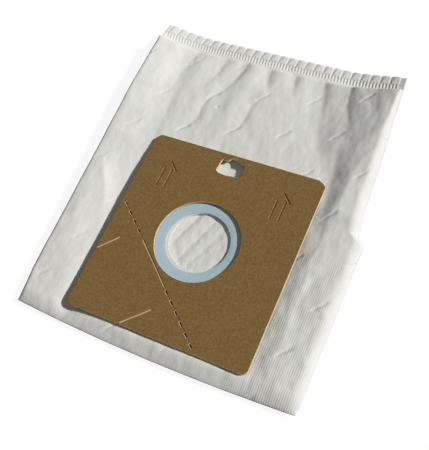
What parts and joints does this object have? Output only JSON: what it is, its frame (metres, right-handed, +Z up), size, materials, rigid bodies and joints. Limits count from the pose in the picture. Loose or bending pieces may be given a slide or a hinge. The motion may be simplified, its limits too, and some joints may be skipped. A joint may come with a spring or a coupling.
{
  "type": "vacuum dust bag",
  "caption": "Flat fleece dust bag with a welded, gathered end, a cardboard collar plate and a round seal ring around its inlet.",
  "frame": {"origin": "on the ground, under the middle of the bag as it lies flat", "axes": "+X across the bag, +Y from its bottom fold to its welded seam, +Z up out of the inlet"},
  "size_m": [0.2084, 0.2504, 0.0109],
  "materials": {
    "fleece": "matt non-woven fleece",
    "kraft_board": "matt brown board",
    "seal": "satin pale blue"
  },
  "bodies": {
    "root": {"fleece_bag": "fleece", "collar_card": "kraft_board", "seal_ring": "seal"}
  },
  "joints": []
}
